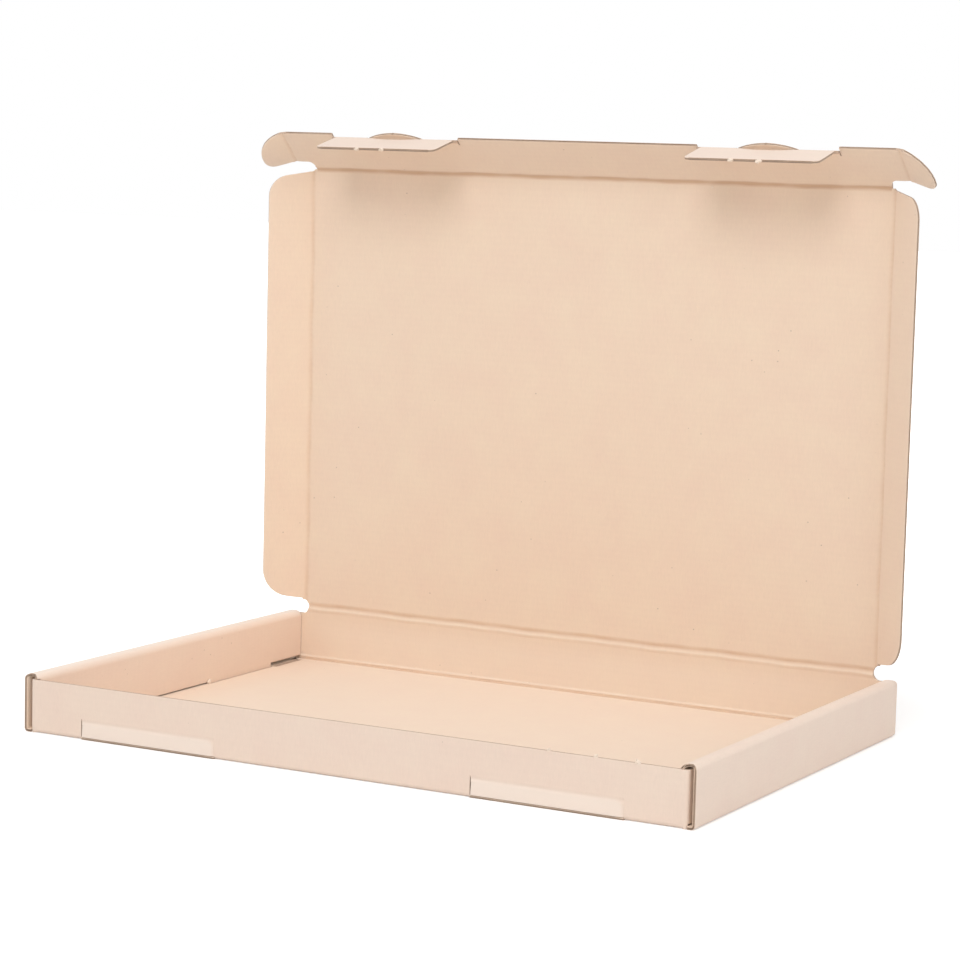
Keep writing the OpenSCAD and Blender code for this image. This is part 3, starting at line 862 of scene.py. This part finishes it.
front = Paper()
TOP_CUT = (False, False, False, True)
full_height = (*foot_fine, wall_v(SLOT_H), wall_v(FRONT_H))
slot_end = SLOT_FROM + SLOT_LEN
crease_top, crease_low = SLOT_H + HINGE_HALF, SLOT_H - HINGE_HALF
rectangle(front, (-SLOT_FROM, SLOT_FROM), full_height, wall_at, TOP_CUT, step=4.0, relief=foot_relief)
for side in SIDES:
    at = on_side(side, wall_at)
    on_right = side == "right"
    free_end, inwards = (slot_end, -1) if on_right else (SLOT_FROM, 1)
    panel_at = on_side(side, lambda points: slot_panel_at(points, free_end))
    rectangle(front, (slot_end, PART_X), full_height, at, TOP_CUT, step=4.0, relief=foot_relief)
    rectangle(front, (PART_X, FOOT_END), (*foot_v, wall_v(WALL_LOW)), at, (False, True, False, False))
    rectangle(front, (PART_X, *CORNER_U), (wall_v(WALL_LOW), wall_v(FRONT_H)), at, (False, True, True, True))
    rectangle(front, (SLOT_FROM, slot_end), (wall_v(crease_top), wall_v(FRONT_H)), at, TOP_CUT)
    # painted highlight on each panel and on its crease
    panel_light = lambda u, v: panel_highlight(u, v, free_end)
    near_gap, far_gap = SLOT_GAPS if on_right else SLOT_GAPS[::-1]
    across = sorted([SLOT_FROM + near_gap, slot_end - far_gap, *(free_end + inwards * np.arange(1, PANEL_FADE + 1))])
    rectangle(front, across, (PANEL_LOW, 3.0, 4.5, 6.0, crease_low), panel_at,
              (on_right, not on_right, True, False), wear_and_light=panel_light)
    along = edged(stations(SLOT_FROM, slot_end, step=2.0), True, True)
    u, z = np.meshgrid(along, np.linspace(crease_low, crease_top, 13))
    narrowing = np.clip((crease_top - z) / (2 * HINGE_HALF), 0, 1) ** 0.5
    share = (u - SLOT_FROM) / SLOT_LEN
    u = u + narrowing * (near_gap * (1 - share) - far_gap * share)
    groove = 0.16 * np.exp(-((z - SLOT_H) / 0.8) ** 2) * (1 + 0.2 * np.sin(u / 3.7) + 0.1 * np.sin(u / 1.3))
    front.sheet(u, z, -BOARD / 2 + groove, np.full(u.shape, BOARD / 2), panel_at, (OUTSIDE, INSIDE, RAW),
                np.clip(narrowing * 1.2 - 0.2, 0, 1) * panel_light(u, z))
    rectangle(front, (SLOT_FROM, slot_end), (-SLOT_SILL, -FLOOR_D), on_side(side, sill_at),
              (False, False, True, False))
for u, size in ((105.0, 0.9), (127.6, 1.0), (147.4, 1.2)):
    nick(front, wall_at, u, wall_v(FRONT_H) + 0.15, -0.25, size)
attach(front.piece("tray_front_wall", PAPERS), "tray")

# %% [markdown]
# The back wall is a little higher. Its top goes over into the lid's crease
# between two round notches, which stop the board from tearing at its ends.

# %% Back wall
CREASE_LOW = HINGE_Z - HINGE_CREASE
NOTCH_LOW = HINGE_Z - NOTCH_R
FLAP_TOP = SIDE_H - BOARD - SLOT_CLEAR
CORNER_RISE = 0.6     # the corner flaps step up over this length
BACK_PALER = 0.3


def back_paler(u, v):
    """How much paler the back wall is painted, fading out over the eight
    millimetres below its notches."""
    return BACK_PALER * np.clip((wall_v(NOTCH_LOW) - v) / 8, 0, 1)


def notch_reach(height, middle):
    """Half the length of a row beside a notch: its middle less
    sqrt(r * r - (height - middle)^2)."""
    return NOTCH_MID - np.sqrt(np.maximum(NOTCH_R ** 2 - (height - middle) ** 2, 0))


back = Paper()
rectangle(back, (-PART_X, PART_X), (*foot_fine, wall_v(NOTCH_LOW)), back_at, NO_CUT,
          step=3.0, relief=foot_relief, wear_and_light=back_paler)
heights = np.linspace(NOTCH_LOW, CREASE_LOW, 9)
reach = lambda v: notch_reach(v - wall_v(0), HINGE_Z)
shaped(back, wall_v(heights), lambda v: (-reach(v), reach(v)), back_at, ENDS_CUT, inner=10)
rise = lambda u: np.interp(u, [CORNER_X, CORNER_X + CORNER_RISE], [NOTCH_LOW, FLAP_TOP])
top = lambda u: (np.full(u.shape, wall_v(WALL_LOW)), wall_v(rise(u)))
turning = stations(PART_X, *CORNER_U[:-1], CORNER_X + CORNER_RISE + 2, CORNER_U[-1])
for side in SIDES:
    at = on_side(side, back_at)
    rectangle(back, (PART_X, FOOT_END), (*foot_v, wall_v(WALL_LOW)), at, (False, True, False, False))
    shaped(back, turning, top, at, (True, True, False, True), along=False)
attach(back.piece("tray_back_wall", PAPERS), "tray")

# %% [markdown]
# ## The lid and its flaps
#
# The lid stands straight up from the back wall. Its dust flaps are folded 43
# degrees towards the front, its front flap 47 degrees, and the ears and lock
# tabs a little further. Each panel stops beside its creases, because the
# creases are pieces of their own.

# %% Where the lid's panels go
EX, EY, EZ = np.eye(3)
LID_O = np.array([0, HINGE_Y, HINGE_Z])
lid_at = flat_place(LID_O, EX, EZ, -EY)
DUST_U = math.cos(DUST_FOLD) * EX - math.sin(DUST_FOLD) * EY
DUST_W_DIR = -math.sin(DUST_FOLD) * EX - math.cos(DUST_FOLD) * EY
DUST_O = LID_O + LID_HALF * EX
dust_at = flat_place(DUST_O, DUST_U, EZ, DUST_W_DIR)
FLAP_O = LID_O + LID_LEN * EZ
FLAP_V = -math.sin(FLAP_FOLD) * EY + math.cos(FLAP_FOLD) * EZ
FLAP_W = -math.cos(FLAP_FOLD) * EY - math.sin(FLAP_FOLD) * EZ
flap_at = flat_place(FLAP_O, EX, FLAP_V, FLAP_W)
EAR_O = FLAP_O + FLAP_HALF * EX
EAR_U = math.cos(EAR_FOLD) * EX + math.sin(EAR_FOLD) * FLAP_W
EAR_W = -math.sin(EAR_FOLD) * EX + math.cos(EAR_FOLD) * FLAP_W
ear_at = flat_place(EAR_O, EAR_U, FLAP_V, EAR_W)
TAB_O = FLAP_O + TAB_MID * EX + TAB_AT * FLAP_V
TAB_V = math.cos(TAB_FOLD) * FLAP_V + math.sin(TAB_FOLD) * FLAP_W
TAB_W = -math.sin(TAB_FOLD) * FLAP_V + math.cos(TAB_FOLD) * FLAP_W
tab_at = flat_place(TAB_O, EX, TAB_V, TAB_W)
print("the front flap's crease is at", np.round(FLAP_O, 2))

# %% Lid
lid = Paper()
rectangle(lid, (CREASE - LID_HALF, LID_HALF - CREASE), (HINGE_CREASE, LID_LEN - CREASE), lid_at, NO_CUT)
nick(lid, lid_at, 68.0, LID_LEN - CREASE - 0.4, BOARD / 2, 0.55)
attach(lid.piece("lid_panel", PAPERS), "lid")

# %% Dust flaps
DUST_LOW, DUST_HIGH = NOTCH_R + 0.6, LID_LEN - 1.6
CORE = 0.9            # the panels' slanted edges start this far from the crease
LOW_SLANT, HIGH_SLANT = (3, 15), (4, 11.5)     # rise of each slanted edge, and its corner's radius


def slanted_corner(v, start, rise, radius):
    """Where a row ends near a slanted edge with a rounded corner. The edge is
    v = start + slope * (u - CORE), so u = CORE + (v - start) / slope, and the
    circle touches it and the outer edge: u = middle + sqrt(r * r - (v - c)^2)."""
    slope = rise / (DUST_W - CORE)
    middle = DUST_W - radius
    centre = start + slope * (middle - CORE) + radius * math.hypot(1, slope)
    touch = start + slope * (middle + radius * math.sin(math.atan(slope)) - CORE)
    edge = CORE + (v - start) / slope
    arc = middle + np.sqrt(np.maximum(radius ** 2 - np.clip(centre - v, 0, radius) ** 2, 0))
    return np.where(v < touch, np.minimum(edge, arc), arc)


def dust_ends(v):
    """From the crease to the nearer of the two corners' ends. The upper corner
    is the lower one's formula with v turned over."""
    low = slanted_corner(v, DUST_LOW, *LOW_SLANT)
    high = slanted_corner(DUST_HIGH - v, 0, *HIGH_SLANT)
    return np.full(v.shape, CREASE), np.maximum(np.minimum(low, high), CREASE + 0.1)


corner = 16 * (1 - np.cos(np.linspace(0.02, math.pi / 2, 22)))     # rows, close together at first
first, last = DUST_LOW + 0.12, DUST_HIGH - 0.15                    # where a row is wide enough
rows = np.unique(np.concatenate([first + corner, stations(24, DUST_HIGH - 20, step=16), last - corner]))
for side in SIDES:
    dust = Paper()
    shaped(dust, rows, dust_ends, on_side(side, dust_at), (False, True, True, True), inner=4)
    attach(dust.piece("dust_flap_panel_" + side, PAPERS), "dust_flap_" + side)

# %% Front flap, with its notches and the half-moon tongues
TAB_EDGE = TAB_AT - CREASE
NOTCH_V = EAR_START - NOTCH_R


def moon_half(v, clear=0.0):
    """Half the width of the half-moon at v from the tab's crease, or of a
    hollow that clears it: sqrt((r + clear)^2 - (v + r - height)^2), but never
    more than its foot."""
    radius = (MOON_W ** 2 / 4 + MOON_H ** 2) / (2 * MOON_H)
    half = np.sqrt(np.maximum((radius + clear) ** 2 - (v + radius - MOON_H) ** 2, 0))
    return np.where(v <= 0, MOON_W / 2, np.minimum(half, MOON_W / 2 + clear))


flap = Paper()
ends = lambda v: (-notch_reach(v, NOTCH_V), notch_reach(v, NOTCH_V))
beside_notch = CREASE + (EAR_START - CREASE) * np.sin(np.linspace(0, math.pi / 2, 12))
shaped(flap, beside_notch, ends, flap_at, ENDS_CUT, inner=10)
rectangle(flap, (CREASE - FLAP_HALF, FLAP_HALF - CREASE), (EAR_START, TAB_EDGE), flap_at, NO_CUT)
rectangle(flap, (-SLOT_FROM, SLOT_FROM), (TAB_EDGE, FLAP_MID_LEN), flap_at, (True, True, False, True))
tongue = np.concatenate([[-CREASE, -0.8], MOON_H * np.sin(np.linspace(0, math.pi / 2, 12)) - 0.01])
ends = lambda v: (TAB_MID - moon_half(v - TAB_AT), TAB_MID + moon_half(v - TAB_AT))
for side in SIDES:
    at = on_side(side, flap_at)
    rectangle(flap, (SLOT_FROM + SLOT_LEN, FLAP_HALF - CREASE), (TAB_EDGE, FLAP_LEN), at, (True, False, False, True))
    shaped(flap, TAB_AT + tongue, ends, at, (True, True, False, True), inner=5)
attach(flap.piece("front_flap_panel", PAPERS), "front_flap")

# %% Ears
EAR_LOW = EAR_START + 0.2
EAR_WIDEST = 6        # the ear is widest this far above its lower edge


def ear_ends(v):
    """From the crease to the ear's edge: a quarter of an ellipse above its
    widest place, u = a * sqrt(1 - (v / b)^2), and a rounded corner below."""
    rise = np.clip((v - EAR_LOW - EAR_WIDEST) / (FLAP_LEN - EAR_LOW - EAR_WIDEST), 0, 1)
    upper = EAR_LEN * np.sqrt(1 - rise ** 2)
    fall = np.clip(EAR_LOW + EAR_R - v, 0, EAR_R)
    lower = EAR_LEN - EAR_R + np.sqrt(EAR_R ** 2 - fall ** 2)
    return np.full(v.shape, CREASE), np.minimum(upper, lower)


corner = EAR_R * (1 - np.cos(np.linspace(0, math.pi / 2, 10)))
arch = (FLAP_LEN - EAR_LOW - EAR_WIDEST - 0.08) * np.sin(np.linspace(0, math.pi / 2, 22))
rows = np.unique(np.concatenate([EAR_LOW + corner, EAR_LOW + EAR_WIDEST + arch]))
for side in SIDES:
    ear = Paper()
    shaped(ear, rows, ear_ends, on_side(side, ear_at), (False, True, True, True), inner=4)
    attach(ear.piece("ear_panel_" + side, PAPERS), "ear_" + side)

# %% [markdown]
# The lock tabs bend away from the flap beside the half-moons, which stay in
# the flap's plane. So each tab has a hollow at the half-moon's place.

# %% Lock tabs
def tab_half(v):
    """Half the tab's width: it tapers along its length, and the free corners
    are rounded: u = middle + sqrt(r * r - (v - (length - r))^2)."""
    tapered = TAB_HALF - TAB_TAPER * (v - CORE) / (TAB_LEN - CORE)
    past = np.clip(v - (TAB_LEN - TAB_R), 0, TAB_R)
    return np.minimum(tapered, TAB_HALF - TAB_TAPER - TAB_R + np.sqrt(TAB_R ** 2 - past ** 2))


NICK_SIZE = 1.25
NICKS_AT = (-9.9, 4.8)       # along the right tab's free edge
NICKS_HANG = {"right": (0.0, 0.8), "left": (0.0, 0.1)}

hollow = MOON_H + SLOT_CLEAR
corner = TAB_R * np.sin(np.linspace(0, math.pi / 2, 12))
low_rows = CREASE + (hollow - CREASE) * np.sin(np.linspace(0, math.pi / 2, 10))
rows = np.unique(np.concatenate([[hollow, 9.0, 13.0], TAB_LEN - TAB_R + corner]))
for side in SIDES:
    at = on_side(side, tab_at)
    tab = Paper()
    shaped(tab, rows, lambda v: (-tab_half(v), tab_half(v)), at, (True, True, False, True), inner=5)
    for sign in (-1, 1):
        ends = lambda v: np.sort([sign * tab_half(v), sign * moon_half(v, SLOT_CLEAR)], axis=0)
        shaped(tab, low_rows, ends, at, ENDS_CUT, inner=4)
    for u, hang in zip(NICKS_AT, NICKS_HANG[side]):
        nick(tab, at, u if side == "right" else -u, TAB_LEN + 0.2 + hang, 0.0, NICK_SIZE, hang)
    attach(tab.piece("lock_tab_panel_" + side, PAPERS), "lock_tab_" + side)

# %% [markdown]
# ## The creases
#
# A crease is board that a blunt wheel has crushed, so that it folds along a
# line. Seen from inside the fold it is a soft valley between two low ridges,
# and outside it is a smooth round back. Each crease here is one closed strip
# from panel to panel, folded at the angle of its joint.

# %% Crease strips
FADE = 0.45           # valleys and ridges fade out this far from a strip's long sides


def crease(name, origin, along, parent_dir, inside, fold, span, valley, ridges=(),
           half=CREASE, ripple=0.0, dark=0.5, mirror=False):
    """A strip half wide on each side of its line. Unfolded, q runs across it.
    It bends evenly, with tangents of half, so its middle radius is
    half / tan(fold / 2). Its inner face is BOARD / 2 less a valley
    depth * exp(-((q - centre) / width)^2), plus ridges of the same form. The
    line wanders by slow sines, and ripple follows the flutes it crosses.
    span(share) gives the strip's start and end at each share of its width."""
    radius = half / math.tan(fold / 2) if fold else 0
    length = radius * fold if fold else 2 * half
    share = np.linspace(0, 1, 25)
    start, stop = span(share)
    run = np.linspace(0, 1, max(8, int((np.max(stop) - np.min(start)) / 0.8)))
    line = start[:, None] + (stop - start)[:, None] * run
    q = np.broadcast_to((share * 2 - 1)[:, None] * half, line.shape)
    wander = 0.16 * np.sin(line / 11.3 + 0.7) + 0.09 * np.sin(line / 3.9)
    uneven = 1 + ripple * np.cos(2 * math.pi * line / PITCH)
    uneven = uneven + 0.14 * np.sin(line / 6.1) + 0.1 * np.sin(line / 2.3 + 1)
    ease = np.clip((half - np.abs(q)) / FADE, 0, 1) ** 2
    bell = lambda centre, width: np.exp(-((q - centre - wander) / width) ** 2) * uneven * ease
    sunk = bell(*valley[:2])
    raised = sum(height * bell(centre, width) for centre, width, height in ridges)
    high = BOARD / 2 - valley[2] * sunk + raised
    low = -BOARD / 2 + 0.12 * np.exp(-(q / (0.4 * half)) ** 2) * ease
    path, _ = fold_path([(0, math.degrees(fold), radius), (0, 0, 0)] if fold else [(length, 0, 0)])

    def at(points):
        a, b = path(points[:, 0] * length, points[:, 2])
        return origin + (a - half)[:, None] * parent_dir + b[:, None] * inside + points[:, 1][:, None] * along

    strip = Paper()
    # The colour: the valley is painted darker, for pressed paper and for painted shade, and the ridges are painted
    # paler, a painted highlight.
    strip.sheet(np.broadcast_to(share[:, None], line.shape), line, low, high, mirrored(at) if mirror else at,
                (OUTSIDE, INSIDE, RAW), 0.6 * raised - dark * sunk)
    made = strip.piece(name, PAPERS)
    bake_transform(made)


even = lambda low, high: (lambda share: (np.full(share.shape, float(low)), np.full(share.shape, float(high))))


def notched(share):
    """The hinge crease ends on the notches, at their circles."""
    reach = notch_reach((share * 2 - 1) * HINGE_CREASE, 0)
    return -reach, reach


def top_notched(share):
    """The flap's crease ends where the notches' circles are widest: at the
    lid's corner on one side, and at the circle on the other."""
    corner = LID_HALF - CREASE + (notch_reach(CREASE, NOTCH_V) - LID_HALF + CREASE) * share
    reach = np.minimum(corner, notch_reach((share * 2 - 1) * CREASE, NOTCH_V))
    return -reach, reach


def side_span(share):
    """A side crease starts and ends on the notches' circles. Across it, the
    circle is at v = sqrt(r * r - (middle - u)^2)."""
    u = np.clip(NOTCH_MID - LID_HALF - (share * 2 - 1) * CREASE, 0, NOTCH_R)
    circle = np.sqrt(NOTCH_R ** 2 - u ** 2)
    return np.maximum(circle, HINGE_CREASE), np.minimum(LID_LEN + NOTCH_V - circle, LID_LEN - 0.4)


crease("lid_hinge_crease", LID_O, EX, EZ, -EY, 0.0, notched,
       (0.9, 1.1, 0.5), ((-1.0, 0.7, 0.3), (-1.8, 0.7, 0.2)), HINGE_CREASE, dark=0.45)
crease("front_flap_crease", FLAP_O, EX, EZ, -EY, FLAP_FOLD, top_notched,
       (0.0, 1.35, 0.5), dark=1.15)
for side in SIDES:
    mirror = side == "left"
    crease("dust_crease_" + side, DUST_O, EZ, EX, -EY, DUST_FOLD, side_span,
           (0.0, 1.2, 0.4), ripple=0.1, dark=0.36, mirror=mirror)
    crease("ear_crease_" + side, EAR_O, FLAP_V, EX, FLAP_W, EAR_FOLD,
           even(EAR_START + 0.1, FLAP_LEN - 0.2), (0.0, 0.9, 0.35), ripple=0.12, dark=0.3, mirror=mirror)
    for part, low, high in (("inner", -TAB_HALF, -MOON_W / 2 - 0.1), ("outer", MOON_W / 2 + 0.1, TAB_HALF)):
        crease("lock_tab_crease_%s_%s" % (part, side), TAB_O, EX, FLAP_V, FLAP_W,
               TAB_FOLD, even(low, high), (0.0, 0.7, 0.35), dark=0.3, mirror=mirror)

# %% [markdown]
# ## Light, table and backdrop
#
# The photograph has even, soft studio light and a pure white ground. A pale
# world lights the paper from all sides. One large lamp hangs above, one stands
# on each side and in front, and one behind puts light on the lid's back and on
# the rims. The camera sees the world pure white, and the table glows towards
# white away from the box, so that only a faint shadow is left under it.

# %% Light and ground
AMBIENT = 0.465       # strength of the pale world
WHITE = (1, 1, 1, 1)

world = bpy.data.worlds.new("studio")
tree = emptied(world)
bpy.context.scene.world = world
path = node(tree, "ShaderNodeLightPath", (-600, 200)).outputs
seen = node(tree, "ShaderNodeMath", (-400, 200), {0: path["Is Camera Ray"], 1: path["Is Glossy Ray"]},
            operation="MAXIMUM")
ambient = node(tree, "ShaderNodeBackground", (-400, 0), Color=WHITE, Strength=AMBIENT)
white = node(tree, "ShaderNodeBackground", (-400, -150), Color=WHITE, Strength=1.0)
sky = node(tree, "ShaderNodeMixShader", (-100, 0), {
    "Fac": seen.outputs["Value"], 1: ambient.outputs["Background"], 2: white.outputs["Background"]})
node(tree, "ShaderNodeOutputWorld", (150, 0), {"Surface": sky.outputs["Shader"]})


def soft_lamp(name, place, aim, size, energy):
    """A square area lamp at place that faces aim."""
    data = bpy.data.lights.new(name, "AREA")
    data.shape, data.size, data.energy = "SQUARE", size, energy
    lamp = bpy.data.objects.new(name, data)
    lamp.location = place
    lamp.rotation_euler = (Vector(aim) - Vector(place)).to_track_quat("-Z", "Y").to_euler()
    bpy.context.scene.collection.objects.link(lamp)


soft_lamp("lamp_top", (0.2, -0.3, 1.9), (0.0, 0.0, 0.0), 2.0, 8.0)
soft_lamp("lamp_right", (1.7, -0.6, 0.8), (0.0, 0.0, 0.05), 1.2, 8.0)
soft_lamp("lamp_front", (0.3, -1.3, 1.5), (0.0, 0.0, 0.1), 0.9, 11.2)
soft_lamp("lamp_left", (-1.3, -0.9, 0.9), (0.0, 0.0, 0.1), 1.2, 3.2)
soft_lamp("lamp_back", (-0.7, 1.5, 0.9), (0.0, 0.0, 0.15), 1.2, 5.0)

ground = bpy.data.meshes.new("ground")
ground.from_pydata([(-6, -6, 0), (6, -6, 0), (6, 6, 0), (-6, 6, 0)], [], [(0, 1, 2, 3)])
table = bpy.data.objects.new("ground", ground)
bpy.context.scene.collection.objects.link(table)
white_table = bpy.data.materials.new("white_table")
tree = emptied(white_table)
path = node(tree, "ShaderNodeLightPath", (-400, -300)).outputs
spot = node(tree, "ShaderNodeTexCoord", (-800, -450))
away = node(tree, "ShaderNodeVectorMath", (-600, -450), {0: spot.outputs["Object"]}, operation="LENGTH")
fading = node(tree, "ShaderNodeMapRange", (-400, -450), {"Value": away.outputs["Value"]},
              From_Min=0.25, From_Max=0.6, To_Min=0.3, To_Max=1.0)
glow = node(tree, "ShaderNodeMath", (-200, -300), {0: path["Is Camera Ray"], 1: fading.outputs["Result"]},
            operation="MULTIPLY")
surface = node(tree, "ShaderNodeBsdfPrincipled", (0, 0), {
    "Base Color": (0.86, 0.86, 0.86, 1), "Roughness": 0.9, "Emission Color": WHITE,
    "Emission Strength": glow.outputs["Value"]})
node(tree, "ShaderNodeOutputMaterial", (300, 0), {"Surface": surface.outputs["BSDF"]})
ground.materials.append(white_table)
bpy.context.scene.view_settings.view_transform = "Standard"

# %% [markdown]
# ## The covered solids are hidden
#
# Each paper piece stands for the solid it covers, and that solid is hidden.

# %% Hide the covered solids
INSIDE_SLOT, OUTSIDE_SLOT = "kraft_inside", "kraft_outside"
COVERS = {
    "tray": (OUTSIDE_SLOT, ["tray_floor", "tray_rolled_wall_right", "tray_rolled_wall_left",
                            "tray_front_wall", "tray_back_wall", "lid_hinge_crease"]),
    "lid": (INSIDE_SLOT, ["lid_panel", "front_flap_crease", "dust_crease_right", "dust_crease_left"]),
    "dust_flap_right": (INSIDE_SLOT, ["dust_flap_panel_right"]),
    "dust_flap_left": (INSIDE_SLOT, ["dust_flap_panel_left"]),
    "front_flap": (INSIDE_SLOT, ["front_flap_panel", "ear_crease_right", "ear_crease_left",
                                 "lock_tab_crease_inner_right", "lock_tab_crease_inner_left",
                                 "lock_tab_crease_outer_right", "lock_tab_crease_outer_left"]),
    "ear_right": (OUTSIDE_SLOT, ["ear_panel_right"]),
    "ear_left": (OUTSIDE_SLOT, ["ear_panel_left"]),
    "lock_tab_right": (OUTSIDE_SLOT, ["lock_tab_panel_right"]),
    "lock_tab_left": (OUTSIDE_SLOT, ["lock_tab_panel_left"]),
}
for solid, (slot, pieces) in COVERS.items():
    for index, name in enumerate(pieces):
        if index == 0:
            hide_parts(solid)

bpy.context.view_layer.update()
